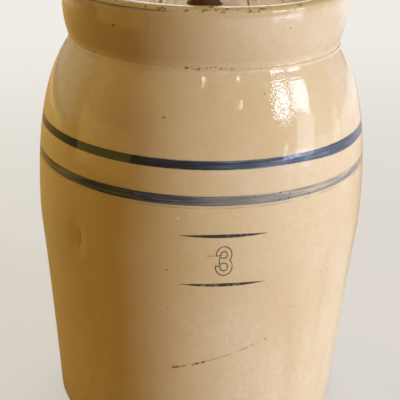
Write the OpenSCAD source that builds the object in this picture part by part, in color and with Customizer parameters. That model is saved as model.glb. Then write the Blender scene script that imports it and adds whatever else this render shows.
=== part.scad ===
// Stoneware butter churn: crock, loose wooden lid and wooden dasher.
// Millimetres, +Z up, origin at the centre of the crock's base.

/* [Crock outside] */
// Height of the crock from the base to the crest of the rim
crock_height = 336; // [300:1:400]
// Outside radius at the widest part of the belly
belly_radius = 126; // [118:0.5:140]
// Height of the widest part of the belly
belly_height = 170; // [140:1:200]
// Outside radius at the base
base_radius = 115; // [105:0.5:120]
// Rounding of the base edge
base_round = 3; // [1:0.5:6]
// Length of wall about the belly that stays close to upright
belly_run = 24; // [10:1:40]
// How far inside the belly radius the lower wall aims
taper_aim = 1; // [0:0.5:6]

/* [Collar and rim] */
// Height of the collar from the crease under it to the crest of the rim
collar_height = 40; // [32:1:48]
// Outside radius of the collar where it is fullest
collar_radius = 104.2; // [102:0.1:110]
// How far below the rim's outer edge the collar is fullest
collar_full_drop = 9.5; // [6:0.5:14]
// How far the collar's lower edge rolls in above the crease
collar_roll = 2; // [0.5:0.5:3]
// Outside radius of the crease between collar and shoulder
crease_radius = 99.8; // [98:0.1:101]
// Rise of the domed rim above its outer edge
rim_dome = 3.5; // [2:0.5:5]
// How far the rim's outer edge lies inside the collar's fullest radius
rim_edge_inset = 0.6; // [0.2:0.1:1.5]
// Height over which the wall turns from the crease into the shoulder
shoulder_turn = 17; // [12:1:24]
// How far the wall flares outward in that turn
shoulder_flare = 1.8; // [0.5:0.1:4]
// How far below the crease the shoulder's curve aims for the belly radius
shoulder_corner = 10; // [4:1:24]

/* [Crock inside] */
// Thickness of the body wall
wall = 11; // [8:0.5:14]
// Thickness of the floor
floor_thickness = 14; // [10:0.5:18]
// Radius of the inside corner between floor and wall
floor_round = 18; // [8:1:26]
// Radius of the mouth, inside the collar
mouth_radius = 89; // [86:0.5:91]
// Rounding of the mouth's inner edge
mouth_round = 3; // [1:0.5:4]
// Depth of the lid gallery below the crest of the rim
gallery_depth = 31.5; // [28:0.5:36]
// Width of the ledge that carries the lid
gallery_ledge = 7; // [5:0.5:9]
// Height of the straight throat under the ledge
throat_height = 9; // [6:0.5:14]

/* [Lid] */
// Thickness of the lid boards
board_thickness = 14; // [10:0.5:18]
// Width of the middle board
middle_board_width = 64; // [56:1:72]
// Open joint between two boards
board_gap = 0.4; // [0.2:0.1:1]
// Radial clearance between lid and mouth
lid_clearance = 2; // [1:0.5:4]
// Rounding of the lid's top and bottom edges
lid_edge_round = 2.5; // [1:0.5:4]
// Radial clearance between the staff and its hole in the lid
staff_clearance = 1.9; // [1:0.1:3]
// Width of a cleat
cleat_width = 18; // [14:1:24]
// Thickness of a cleat
cleat_thickness = 12; // [10:0.5:16]
// Bevel along the lower edges and ends of a cleat
cleat_bevel = 3; // [1:0.5:5]
// Distance of a cleat's middle line from the lid's centre
cleat_offset = 42; // [34:1:48]
// Radial clearance between the ends of a cleat and the throat
cleat_clearance = 4; // [2:0.5:6]

/* [Lid screws] */
// Diameter of the screw shank
screw_diameter = 4; // [3:0.1:5]
// Diameter of the countersunk screw head
screw_head_diameter = 8; // [6:0.1:9]
// Length of the screw
screw_length = 20; // [16:0.5:21]
// Width of the slot in the screw head
screw_slot_width = 1.1; // [0.8:0.1:1.5]
// Depth of the slot in the screw head
screw_slot_depth = 1; // [0.6:0.1:1.4]
// Length of the screw's point
screw_point = 4; // [2:0.5:6]
// Distance of a screw from the nearest edge of its board
screw_edge = 12; // [8:0.5:16]

/* [Dasher] */
// Diameter of the staff
staff_diameter = 22.2; // [19:0.1:26]
// Length of the staff from the foot of its tenon to its top
staff_length = 610; // [560:5:700]
// Rounding of the staff's top end
staff_top_round = 7; // [4:0.5:9]
// Diameter of the tenon at the staff's foot
tenon_diameter = 16; // [12:0.5:17]
// Radial clearance between the ends of the arms and the throat
arm_clearance = 7; // [4:0.5:16]
// Width of an arm
arm_width = 40; // [36:1:46]
// Thickness of the cross
arm_thickness = 18; // [14:0.5:24]
// Bevel along the upper and lower edges of the arms' ends
arm_bevel = 2; // [1:0.5:3]

/* [Wedge and pegs] */
// Thickness of the wedge at the foot of the tenon
wedge_foot = 3.2; // [2.6:0.1:4]
// Thickness of the wedge at its thin end
wedge_tip = 1; // [0.6:0.1:1.4]
// Length of the wedge
wedge_length = 15; // [10:0.5:16]
// Diameter of a peg
peg_diameter = 6; // [4:0.5:7]
// Distance of a peg from the staff's axis along each arm
peg_offset = 13.5; // [12:0.5:15]

/* [Fits] */
// Gap under a piece that only rests on another
rest_gap = 0.2; // [0.1:0.05:0.4]
// Clearance all round a glued, screwed or wedged joint
joint_clearance = 0.05; // [0.03:0.01:0.1]

/* [Hidden] */
$fn = 96;
curve_steps = 28;
round_steps = 8;
overcut = 1;

crease_z = crock_height - collar_height;
rim_edge_z = crock_height - rim_dome;
collar_full_z = rim_edge_z - collar_full_drop;
rim_edge_radius = collar_radius - rim_edge_inset;
gallery_z = crock_height - gallery_depth;
throat_radius = mouth_radius - gallery_ledge;
throat_z = gallery_z - throat_height;
inner_belly = belly_radius - wall;
inner_base = base_radius - wall;

lid_radius = mouth_radius - lid_clearance;
lid_z = gallery_z + rest_gap;
lid_top = lid_z + board_thickness;
middle_board_x = (middle_board_width - board_gap) / 2;
side_board_x = (middle_board_width + board_gap) / 2;
hole_radius = staff_diameter / 2 + staff_clearance;
cleat_z = lid_z - cleat_thickness;
cleat_reach = throat_radius - cleat_clearance;
cleat_length = 2 * sqrt(pow(cleat_reach, 2) - pow(cleat_offset + cleat_width / 2, 2));
screw_head_height = (screw_head_diameter - screw_diameter) / 2;
screw_x_inner = middle_board_width / 2 - screw_edge;
screw_x_outer = middle_board_width / 2 + screw_edge;

dasher_z = floor_thickness + rest_gap;
arm_reach = throat_radius - arm_clearance;
arm_top = dasher_z + arm_thickness;
lap_z = dasher_z + arm_thickness / 2;
staff_top = dasher_z + staff_length;

// Points of a cubic curve, without its first point so that curves can follow each other
function curve(a, b, c, d, steps = curve_steps) = [
    for (i = [1 : steps])
        let (t = i / steps, s = 1 - t)
        s * s * s * a + 3 * s * s * t * b + 3 * s * t * t * c + t * t * t * d
];

// Points of a round between two angles, first point included
function round_edge(centre, radius, from, to) = [
    for (i = [0 : round_steps])
        let (angle = from + (to - from) * i / round_steps)
        centre + radius * [cos(angle), sin(angle)]
];

// Lower outside wall, from the belly down to the base plane, moved in by an inset
function lower_wall(inset, foot_z) =
    let (belly = [belly_radius - inset, belly_height])
    curve(
        belly,
        belly - [0, belly_run],
        belly - [taper_aim, 0],
        [base_radius - inset, foot_z]
    );

// Outside of the crock, from the rim's outer edge down to the base
function outside_points() =
    let (
        rim_edge = [rim_edge_radius, rim_edge_z],
        full = [collar_radius, collar_full_z],
        crease = [crease_radius, crease_z],
        belly = [belly_radius, belly_height],
        upper_pull = [0, collar_full_drop / 4],
        lower_pull = [0, (collar_full_z - crease_z) / 4]
    )
    concat(
        [rim_edge],
        curve(rim_edge, [collar_radius, rim_edge_z] - upper_pull, full + upper_pull, full, round_steps),
        curve(full, full - 2 * lower_pull, crease + [collar_roll, 0] + lower_pull, crease, round_steps),
        curve(
            crease,
            crease + [shoulder_flare, -shoulder_turn],
            [belly_radius, crease_z - shoulder_corner],
            belly
        ),
        lower_wall(0, base_round),
        round_edge([base_radius - base_round, base_round], base_round, 0, -90)
    );

// Inside of the crock, from the axis out along the floor and up to the mouth's edge
function inside_points() =
    let (
        floor_corner = [inner_base - floor_round, floor_thickness + floor_round],
        up_wall = lower_wall(wall, floor_thickness + floor_round),
        belly = [inner_belly, belly_height],
        throat = [throat_radius, throat_z],
        shoulder = curve(
            throat,
            throat + [shoulder_flare, -shoulder_turn],
            [inner_belly, throat_z - shoulder_corner],
            belly
        )
    )
    concat(
        [[0, floor_thickness]],
        round_edge(floor_corner, floor_round, -90, 0),
        [for (i = [len(up_wall) - 2 : -1 : 0]) up_wall[i]],
        [belly],
        [for (i = [len(shoulder) - 2 : -1 : 0]) shoulder[i]],
        [throat, [throat_radius, gallery_z], [mouth_radius, gallery_z]]
    );

// Domed rim, from the mouth's inner edge over the crest to the outer edge
function rim_points() =
    let (
        crest = [(mouth_radius + rim_edge_radius) / 2, crock_height],
        mouth_edge = [mouth_radius, crock_height - mouth_round],
        rim_edge = [rim_edge_radius, rim_edge_z]
    )
    concat(
        [mouth_edge],
        curve(mouth_edge, mouth_edge + [0, mouth_round / 2], crest - [mouth_round, 0], crest, round_steps),
        curve(crest, crest + [rim_dome, 0], rim_edge + [0, rim_dome / 2], rim_edge, round_steps)
    );

module crock() {
    rim = rim_points();
    outside = outside_points();
    color("tan")
    rotate_extrude()
    polygon(concat(
        inside_points(),
        [for (i = [0 : len(rim) - 2]) rim[i]],
        outside,
        [[0, 0]]
    ));
}

// Round lid blank with eased edges, before it is cut into boards
module lid_blank() {
    low = lid_z + lid_edge_round;
    high = lid_top - lid_edge_round;
    edge = lid_radius - lid_edge_round;
    rotate_extrude()
    polygon(concat(
        [[0, lid_z]],
        round_edge([edge, low], lid_edge_round, -90, 0),
        round_edge([edge, high], lid_edge_round, 0, 90),
        [[0, lid_top]]
    ));
}

// One stretch of the lid blank between two lines across it
module lid_board(from_x, to_x) {
    difference() {
        intersection() {
            lid_blank();
            translate([from_x, -lid_radius, lid_z])
            cube([to_x - from_x, 2 * lid_radius, board_thickness]);
        }
        at_screws() screw_hole();
        translate([0, 0, lid_z - overcut])
        cylinder(r = hole_radius, h = board_thickness + 2 * overcut);
    }
}

// Cross-section of a cleat, with its lower edges bevelled
module cleat_section() {
    half = cleat_width / 2;
    polygon([
        [-half, lid_z],
        [-half, cleat_z + cleat_bevel],
        [cleat_bevel - half, cleat_z],
        [half - cleat_bevel, cleat_z],
        [half, cleat_z + cleat_bevel],
        [half, lid_z]
    ]);
}

// Side of a cleat, with its lower corners bevelled
module cleat_side() {
    half = cleat_length / 2;
    polygon([
        [-half, lid_z],
        [-half, cleat_z + cleat_bevel],
        [cleat_bevel - half, cleat_z],
        [half - cleat_bevel, cleat_z],
        [half, cleat_z + cleat_bevel],
        [half, lid_z]
    ]);
}

module lid_cleat(side) {
    difference() {
        translate([0, side * cleat_offset, 0])
        intersection() {
            rotate([90, 0, 90])
            linear_extrude(height = cleat_length, center = true) cleat_section();
            rotate([90, 0, 0])
            linear_extrude(height = cleat_width, center = true) cleat_side();
        }
        at_screws() screw_hole();
    }
}

// Places of the lid screws, two in each cleat on each side of the board joints
module at_screws() {
    for (y = [-cleat_offset, cleat_offset])
        for (x = [-screw_x_outer, -screw_x_inner, screw_x_inner, screw_x_outer])
            translate([x, y, cleat_z]) children();
}

// Outline of a screw from its head up to its point, grown by a clearance
module screw_outline(grow) {
    shank = screw_diameter / 2 + grow;
    head = screw_head_diameter / 2 + grow;
    polygon([
        [0, 0],
        [head, 0],
        [shank, screw_head_height],
        [shank, screw_length - screw_point],
        [0, screw_length + grow]
    ]);
}

module screw_hole() {
    rotate_extrude() screw_outline(joint_clearance);
}

module screw() {
    difference() {
        rotate_extrude() screw_outline(0);
        translate([-screw_head_diameter / 2 - overcut, -screw_slot_width / 2, -overcut])
        cube([screw_head_diameter + 2 * overcut, screw_slot_width, screw_slot_depth + overcut]);
    }
}

module lid_board_left() { color("burlywood") lid_board(-lid_radius, -side_board_x); }
module lid_board_middle() { color("peru") lid_board(-middle_board_x, middle_board_x); }
module lid_board_right() { color("burlywood") lid_board(side_board_x, lid_radius); }
module lid_cleat_front() { color("sienna") lid_cleat(-1); }
module lid_cleat_back() { color("sienna") lid_cleat(1); }
module lid_screws() { color("goldenrod") at_screws() screw(); }

// Saw kerf or wedge seen from its broad side, grown by a clearance
module wedge_section(grow) {
    polygon([
        [-wedge_foot / 2 - grow, 0],
        [wedge_foot / 2 + grow, 0],
        [wedge_tip / 2 + grow, wedge_length + grow],
        [-wedge_tip / 2 - grow, wedge_length + grow]
    ]);
}

module wedge_solid(grow) {
    translate([0, 0, dasher_z])
    rotate([90, 0, 45])
    linear_extrude(height = tenon_diameter + 2 * overcut, center = true) wedge_section(grow);
}

module dasher_staff() {
    staff_radius = staff_diameter / 2;
    tenon_radius = tenon_diameter / 2;
    color("saddlebrown")
    difference() {
        rotate_extrude()
        polygon(concat(
            [[0, dasher_z], [tenon_radius, dasher_z], [tenon_radius, arm_top], [staff_radius, arm_top]],
            round_edge([staff_radius - staff_top_round, staff_top - staff_top_round], staff_top_round, 0, 90),
            [[0, staff_top]]
        ));
        wedge_solid(joint_clearance);
    }
}

module dasher_wedge() {
    color("wheat")
    intersection() {
        wedge_solid(0);
        translate([0, 0, dasher_z]) cylinder(d = tenon_diameter, h = arm_thickness);
    }
}

// Places of the pegs through the half-lap
module at_pegs() {
    for (x = [-peg_offset, peg_offset], y = [-peg_offset, peg_offset])
        translate([x, y, dasher_z]) children();
}

// Round blank with bevelled edges that both arms are cut from
module arm_blank() {
    rotate_extrude()
    polygon([
        [0, dasher_z],
        [arm_reach - arm_bevel, dasher_z],
        [arm_reach, dasher_z + arm_bevel],
        [arm_reach, arm_top - arm_bevel],
        [arm_reach - arm_bevel, arm_top],
        [0, arm_top]
    ]);
}

// One arm along X: its half-lap is open towards the other arm
module arm(lap_from, lap_to) {
    difference() {
        intersection() {
            arm_blank();
            translate([-arm_reach, -arm_width / 2, dasher_z])
            cube([2 * arm_reach, arm_width, arm_thickness]);
        }
        translate([-arm_width / 2 - joint_clearance, -arm_width, lap_from])
        cube([arm_width + 2 * joint_clearance, 2 * arm_width, lap_to - lap_from]);
        translate([0, 0, dasher_z - overcut])
        cylinder(d = tenon_diameter + 2 * joint_clearance, h = arm_thickness + 2 * overcut);
        at_pegs()
        translate([0, 0, -overcut])
        cylinder(d = peg_diameter + 2 * joint_clearance, h = arm_thickness + 2 * overcut);
    }
}

module dasher_arm_upper() { color("burlywood") arm(dasher_z - overcut, lap_z); }
module dasher_arm_lower() { color("tan") rotate([0, 0, 90]) arm(lap_z, arm_top + overcut); }
module dasher_pegs() { color("wheat") at_pegs() cylinder(d = peg_diameter, h = arm_thickness); }

crock();
lid_board_left();
lid_board_middle();
lid_board_right();
lid_cleat_front();
lid_cleat_back();
lid_screws();
dasher_staff();
dasher_arm_upper();
dasher_arm_lower();
dasher_wedge();
dasher_pegs();
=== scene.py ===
import math

import bpy
import numpy as np
from mathutils import Matrix, Quaternion, Vector


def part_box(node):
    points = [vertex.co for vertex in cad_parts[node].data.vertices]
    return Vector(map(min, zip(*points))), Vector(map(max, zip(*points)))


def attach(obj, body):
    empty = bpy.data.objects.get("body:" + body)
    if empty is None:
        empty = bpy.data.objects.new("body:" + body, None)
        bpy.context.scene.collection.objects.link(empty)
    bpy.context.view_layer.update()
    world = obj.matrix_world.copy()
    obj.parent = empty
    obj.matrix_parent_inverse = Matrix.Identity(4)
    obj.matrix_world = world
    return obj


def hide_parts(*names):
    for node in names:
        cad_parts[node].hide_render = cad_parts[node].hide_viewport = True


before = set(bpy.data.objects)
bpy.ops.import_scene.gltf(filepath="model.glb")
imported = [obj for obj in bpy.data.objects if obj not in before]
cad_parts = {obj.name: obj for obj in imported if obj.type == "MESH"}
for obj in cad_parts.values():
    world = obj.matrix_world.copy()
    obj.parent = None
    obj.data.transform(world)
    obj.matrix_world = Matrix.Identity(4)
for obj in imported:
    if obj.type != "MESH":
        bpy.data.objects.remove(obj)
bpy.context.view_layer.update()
print("churn: frame loaded with", len(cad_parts), "nodes")


# shader helpers

class Wire:
    # one output socket, so that shader maths can be written as plain sums
    def __init__(self, tree, socket=None):
        self.tree = tree
        self.socket = socket

    def make(self, kind, settings=None, links=None, out=0):  # settings first, then values or links
        node = self.tree.nodes.new(kind)
        for name, value in (settings or {}).items():
            setattr(node, name, value)
        for key, value in (links or {}).items():
            if isinstance(value, Wire):
                self.tree.links.new(value.socket, node.inputs[key])
            else:
                node.inputs[key].default_value = value
        return Wire(self.tree, node.outputs[out])

    def out(self, key):
        return Wire(self.tree, self.socket.node.outputs[key])

    def maths(self, operation, *values):
        return self.make("ShaderNodeMath", {"operation": operation}, dict(enumerate(values)))

    def __add__(self, other):
        return self.maths("ADD", self, other)

    def __radd__(self, other):
        return self.maths("ADD", other, self)

    def __sub__(self, other):
        return self.maths("SUBTRACT", self, other)

    def __rsub__(self, other):
        return self.maths("SUBTRACT", other, self)

    def __mul__(self, other):
        return self.maths("MULTIPLY", self, other)

    def __rmul__(self, other):
        return self.maths("MULTIPLY", other, self)

    def __truediv__(self, other):
        return self.maths("DIVIDE", self, other)

    def __rtruediv__(self, other):
        return self.maths("DIVIDE", other, self)

    def __neg__(self):
        return self.maths("MULTIPLY", self, -1.0)

    def __abs__(self):
        return self.maths("ABSOLUTE", self)

    def most(self, other):
        return self.maths("MAXIMUM", self, other)

    def rise(self, low, high):  # 0 below low, 1 above high, smooth between
        links = {"Value": self, "From Min": low, "From Max": high}
        return self.make("ShaderNodeMapRange", {"interpolation_type": "SMOOTHSTEP"}, links)

    def within(self, low, high, soft):  # 1 between low and high
        return self.rise(low - soft, low + soft) * (1 - self.rise(high - soft, high + soft))

    def near(self, level, inner, outer):  # 1 at a level, 0 where it is further off than outer
        return 1 - abs(self - level).rise(inner, outer)

    def reach(self, other):  # distance from the point where both values are 0
        return self.maths("SQRT", self * self + other * other)

    def split(self):
        first = self.make("ShaderNodeSeparateXYZ", links={0: self})
        return first, first.out(1), first.out(2)

    def noise(self, scale, detail=2.0, rough=0.5):
        links = {"Vector": self, "Scale": scale, "Detail": detail, "Roughness": rough}
        return self.make("ShaderNodeTexNoise", links=links)

    def streaks(self, stretch, shift=(0, 0, 0), detail=2.0, rough=0.5):  # noise with a scale for each axis
        links = {"Vector": self, "Scale": stretch, "Location": shift}
        return self.make("ShaderNodeMapping", links=links).noise(1.0, detail, rough)

    def cells(self, scale):
        return self.make("ShaderNodeTexVoronoi", links={"Vector": self, "Scale": scale})

    def scattered(self, scale, inner, outer, channel):  # round dots, in about a fifth of the cells
        cells = self.cells(scale)
        chosen = cells.out("Color").split()[channel].rise(0.80, 0.82)
        return (1 - cells.rise(inner, outer)) * chosen

    def mixed(self, a, b):  # colour a where this is 0, colour b where it is 1
        # a Mix node's colours are its sockets 6 and 7, and its output 2
        return self.make("ShaderNodeMix", {"data_type": "RGBA"}, {0: self, 6: a, 7: b}, out=2)

    def feed(self, shader, socket):
        self.tree.links.new(self.socket, shader.inputs[socket])

    def emboss(self, shader, strength=1.0):  # this height, in metres, as a bump
        links = {"Strength": strength, "Distance": 1.0, "Height": self}
        self.make("ShaderNodeBump", links=links).feed(shader, "Normal")


def tone(red, green, blue):  # a colour as it looks on screen, 0 to 255, to the shader's linear values
    def linear(value):
        share = value / 255
        return share / 12.92 if share <= 0.04045 else ((share + 0.055) / 1.055) ** 2.4
    return (linear(red), linear(green), linear(blue), 1.0)


def newLook(name, constants):
    material = bpy.data.materials.new(name)
    material.use_nodes = True
    shader = material.node_tree.nodes["Principled BSDF"]
    for key, value in constants.items():
        shader.inputs[key].default_value = value
    place = Wire(material.node_tree).make("ShaderNodeTexCoord", out="Object")
    return material, shader, place


# mesh helpers

def addPiece(name, verts, faces, materials, body, stands, slotOfFace=None):
    mesh = bpy.data.meshes.new(name)
    mesh.from_pydata([tuple(v) for v in verts], [], faces)
    mesh.validate()
    for material in materials:
        mesh.materials.append(material)
    mesh.polygons.foreach_set("use_smooth", [True] * len(mesh.polygons))
    if slotOfFace is not None:
        mesh.polygons.foreach_set("material_index", slotOfFace)
    mesh.update()
    piece = bpy.data.objects.new(name, mesh)
    bpy.context.scene.collection.objects.link(piece)
    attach(piece, body)
    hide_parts(*stands)
    return piece


def cubic(a, b, c, d, steps):  # points of a curve, without its first point
    t = np.linspace(0, 1, steps + 1)[1:, None]
    a, b, c, d = (np.array(p, float) for p in (a, b, c, d))
    return (1 - t) ** 3 * a + 3 * (1 - t) ** 2 * t * b + 3 * (1 - t) * t * t * c + t ** 3 * d


def arc(centre, radius, start, end, steps):
    angle = np.radians(np.linspace(start, end, steps + 1))
    return np.array(centre) + radius * np.column_stack([np.cos(angle), np.sin(angle)])


def eased(points, size, steps):  # rounds the corner at the middle one of three points
    before, corner, after = (np.array(p, float) for p in points)
    start = corner + (before - corner) / np.linalg.norm(before - corner) * size
    end = corner + (after - corner) / np.linalg.norm(after - corner) * size
    t = np.linspace(0, 1, steps + 1)[:, None]
    return (1 - t) ** 2 * start + 2 * (1 - t) * t * corner + t * t * end


def dense(rows, low, high, parts):  # splits the steps of a profile between two heights
    out = [rows[0]]
    for start, end in zip(rows[:-1], rows[1:]):
        count = parts if low < (start[1] + end[1]) / 2 < high else 1
        for step in range(1, count + 1):
            out.append(start + (end - start) * step / count)
    return np.array(out)


def joinRings(ringCount, size, closed=False):
    faces = []
    last = ringCount if closed else ringCount - 1
    for ring in range(last):
        low = ring * size
        high = (ring + 1) % ringCount * size
        for i in range(size):
            j = (i + 1) % size
            faces.append((low + i, low + j, high + j, high + i))
    return faces


def fan(centre, first, size, up):  # triangles from one ring to a centre point
    ring = [(first + i, first + (i + 1) % size) for i in range(size)]
    return [(centre, i, j) if up else (centre, j, i) for i, j in ring]


def closeEnds(verts, faces, size, under, over):  # fans from the first and the last ring to two points
    count = len(verts)
    faces = faces + fan(count, 0, size, up=False) + fan(count + 1, count - size, size, up=True)
    return np.vstack([verts, [under], [over]]), faces


# the crock

crockForm = {
    "collarHeight": 0.040,
    "collarRadius": 0.1042,
    "collarFullDrop": 0.0095,
    "collarRoll": 0.002,
    "creaseRadius": 0.0998,
    "creaseEase": 0.0006,
    "rimDome": 0.0035,
    "rimEdgeInset": 0.0006,
    "shoulderTurn": 0.0093,
    "shoulderFlare": 0.0020,
    "shoulderCorner": 0.0245,
    "bellyHeight": 0.170,
    "bellyRun": 0.024,
    "taperAim": 0.001,
    "baseRadius": 0.115,
    "baseRound": 0.003,
    "wall": 0.011,
    "floorThickness": 0.014,
    "floorRound": 0.018,
    "mouthRadius": 0.089,
    "mouthRound": 0.003,
    "galleryDepth": 0.0315,
    "galleryLedge": 0.007,
    "galleryEase": 0.0012,
    "throatHeight": 0.009,
}
crockSteps = {  # points round the crock, and along each stretch of its profile
    "round": 288,
    "foot": 8,
    "taper": 60,
    "shoulder": 64,
    "collar": 22,
    "collarTop": 10,
    "dome": 12,
    "lip": 10,
    "corner": 4,
    "innerShoulder": 30,
    "innerTaper": 24,
    "floor": 8,
    "creaseNear": 0.003,  # this near the crease each step is split
    "creaseParts": 4,
}
crockHand = {  # what the potter's hand left, with turns round the crock in radians
    "oval": 0.0005,
    "ovalTurn": 0.7,
    "ringDepth": 0.00004,  # faint finger rings
    "ringPitch": 0.0125,
    "ringWander": 0.8,
    "ringTurn": 0.4,
    "ringLow": 0.01,  # they start this far above the base
    "ringHigh": 0.02,  # and end this far below the crease
    "ringFade": 0.05,
    "rimSway": 0.0006,
    "rimLevel": 0.5,
    "rimWaves": ((1, 0.3, 2.1), (3, 0.2, 0.6)),  # count, share and turn of each
    "grooveDepth": 0.00025,  # under the collar
    "grooveHalf": 0.0006,
    "grooveVary": 0.2,
    "grooveWaves": (5, 13),
    "grooveTurn": 1.0,
    "grooveFill": 0.96,  # where glaze has filled most of the groove
    "grooveFillHalf": 0.5,
    "grooveFillShare": 0.7,
    "beadReach": 0.0006,  # glaze gathered below the groove
    "beadDrop": 0.0016,
    "beadHalf": 0.0008,
    "beadVary": 0.35,
}
dentForm = {
    "bearing": -43.8,  # degrees from the front, towards the right
    "height": 0.1690,
    "halfWidth": 0.0115,
    "halfHeight": 0.0190,
    "depth": 0.0028,
    "ridge": 0.0019,  # a raised fold of glaze in its middle
    "ridgeHalf": (0.002875, 0.0095),  # across and up
    "ridgeEdge": (0.1, 1.0),
}
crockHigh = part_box("crock")[1]
crockHeight = crockHigh.z
bellyRadius = crockHigh.x
creaseHeight = crockHeight - crockForm["collarHeight"]
rimEdgeHeight = crockHeight - crockForm["rimDome"]
crestRadius = (crockForm["mouthRadius"] + crockForm["collarRadius"] - crockForm["rimEdgeInset"]) / 2


def lowerWall(inset, footHeight, steps):
    form = crockForm
    belly = np.array([bellyRadius - inset, form["bellyHeight"]])
    return cubic(
        belly,
        belly - (0, form["bellyRun"]),
        belly - (form["taperAim"], 0),
        (form["baseRadius"] - inset, footHeight),
        steps,
    )


def shoulderCurve(start, belly, steps):
    form = crockForm
    return cubic(
        start,
        start + (form["shoulderFlare"], -form["shoulderTurn"]),
        (belly[0], start[1] - form["shoulderCorner"]),
        belly,
        steps,
    )


def crockOutside():  # from the foot up to the crest of the rim
    form = crockForm
    steps = crockSteps
    base = form["baseRound"]
    rimEdge = np.array([form["collarRadius"] - form["rimEdgeInset"], rimEdgeHeight])
    full = np.array([form["collarRadius"], rimEdgeHeight - form["collarFullDrop"]])
    crease = np.array([form["creaseRadius"], creaseHeight])
    belly = np.array([bellyRadius, form["bellyHeight"]])
    crest = np.array([crestRadius, crockHeight])
    upperPull = np.array([0, form["collarFullDrop"] / 4])
    lowerPull = np.array([0, (full[1] - crease[1]) / 4])
    rolled = crease + (form["collarRoll"], 0) + lowerPull
    eave = np.array([full[0], rimEdge[1]]) - upperPull
    domed = rimEdge + (0, form["rimDome"] / 2)
    # the curves run downwards, and are turned round to be joined from the foot up
    foot = arc((form["baseRadius"] - base, base), base, -90, 0, steps["foot"])
    taper = lowerWall(0, base, steps["taper"])[::-1]
    shoulder = shoulderCurve(crease, belly, steps["shoulder"])[::-1]
    collar = cubic(full, full - 2 * lowerPull, rolled, crease, steps["collar"])[::-1]
    upper = cubic(rimEdge, eave, full + upperPull, full, steps["collarTop"])[::-1]
    dome = cubic(crest, crest + (form["rimDome"], 0), domed, rimEdge, steps["dome"])[::-1]
    corner = eased((shoulder[-2], crease, collar[2]), form["creaseEase"], steps["corner"])
    rows = np.vstack([foot, taper[1:], shoulder[:-2], corner, collar[2:], upper, dome, [crest]])
    near = steps["creaseNear"]
    return dense(rows, creaseHeight - near, creaseHeight + near, steps["creaseParts"])


def crockInside():  # from the crest of the rim down to the edge of the floor
    form = crockForm
    steps = crockSteps
    crest = np.array([crestRadius, crockHeight])
    mouth = np.array([form["mouthRadius"], crockHeight - form["mouthRound"]])
    gallery = crockHeight - form["galleryDepth"]
    throatRadius = form["mouthRadius"] - form["galleryLedge"]
    throat = np.array([throatRadius, gallery - form["throatHeight"]])
    ledgeOuter = np.array([form["mouthRadius"], gallery])
    ledgeInner = np.array([throatRadius, gallery])
    innerBelly = np.array([bellyRadius - form["wall"], form["bellyHeight"]])
    floorTop = form["floorThickness"] + form["floorRound"]
    floorCentre = (form["baseRadius"] - form["wall"] - form["floorRound"], floorTop)
    pull = np.array([form["mouthRound"], 0])
    return np.vstack([
        cubic(crest, crest - pull, mouth + (0, form["mouthRound"] / 2), mouth, steps["lip"]),
        eased((mouth, ledgeOuter, ledgeInner), form["galleryEase"], steps["corner"]),
        eased((ledgeOuter, ledgeInner, throat), form["galleryEase"], steps["corner"]),
        [throat],
        shoulderCurve(throat, innerBelly, steps["innerShoulder"]),
        lowerWall(form["wall"], floorTop, steps["innerTaper"]),
        arc(floorCentre, form["floorRound"], 0, -90, steps["floor"])[1:],
    ])


def fingerRings(angle, height):
    hand = crockHand
    wander = hand["ringWander"] * np.sin(angle + hand["ringTurn"])
    rings = np.sin(2 * math.pi * height / hand["ringPitch"] + wander)
    starts = np.clip((height - hand["ringLow"]) / hand["ringFade"], 0, 1)
    ends = np.clip((creaseHeight - hand["ringHigh"] - height) / hand["ringFade"], 0, 1)
    return hand["ringDepth"] * rings * starts * ends


def creaseShape(angle, fromCrease):  # a tight, uneven groove under the collar, with a bead of glaze below it
    hand = crockHand
    few, many = hand["grooveWaves"]
    waves = np.sin(few * angle + hand["grooveTurn"]) * np.sin(many * angle)
    uneven = 1 - hand["grooveVary"] * (1 - waves)
    filled = np.exp(-((angle - hand["grooveFill"]) / hand["grooveFillHalf"]) ** 2)
    depth = hand["grooveDepth"] * uneven * (1 - hand["grooveFillShare"] * filled)
    groove = depth * np.exp(-(fromCrease / hand["grooveHalf"]) ** 2)
    gathered = 1 - hand["beadVary"] * (1 - np.cos(angle - hand["grooveFill"]))
    bead = hand["beadReach"] * np.exp(-((fromCrease + hand["beadDrop"]) / hand["beadHalf"]) ** 2)
    return bead * gathered - groove


def dentShape(angle, height):  # a finger dent in the left of the belly
    dent = dentForm
    turned = (angle - math.radians(dent["bearing"]) + math.pi) % (2 * math.pi) - math.pi
    across = turned * bellyRadius / dent["halfWidth"]
    above = (height - dent["height"]) / dent["halfHeight"]
    reach = np.clip(np.hypot(across, above), 0, 1)
    return dent["depth"] * (1 - reach) ** 2 * (1 + 2 * reach)


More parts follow.
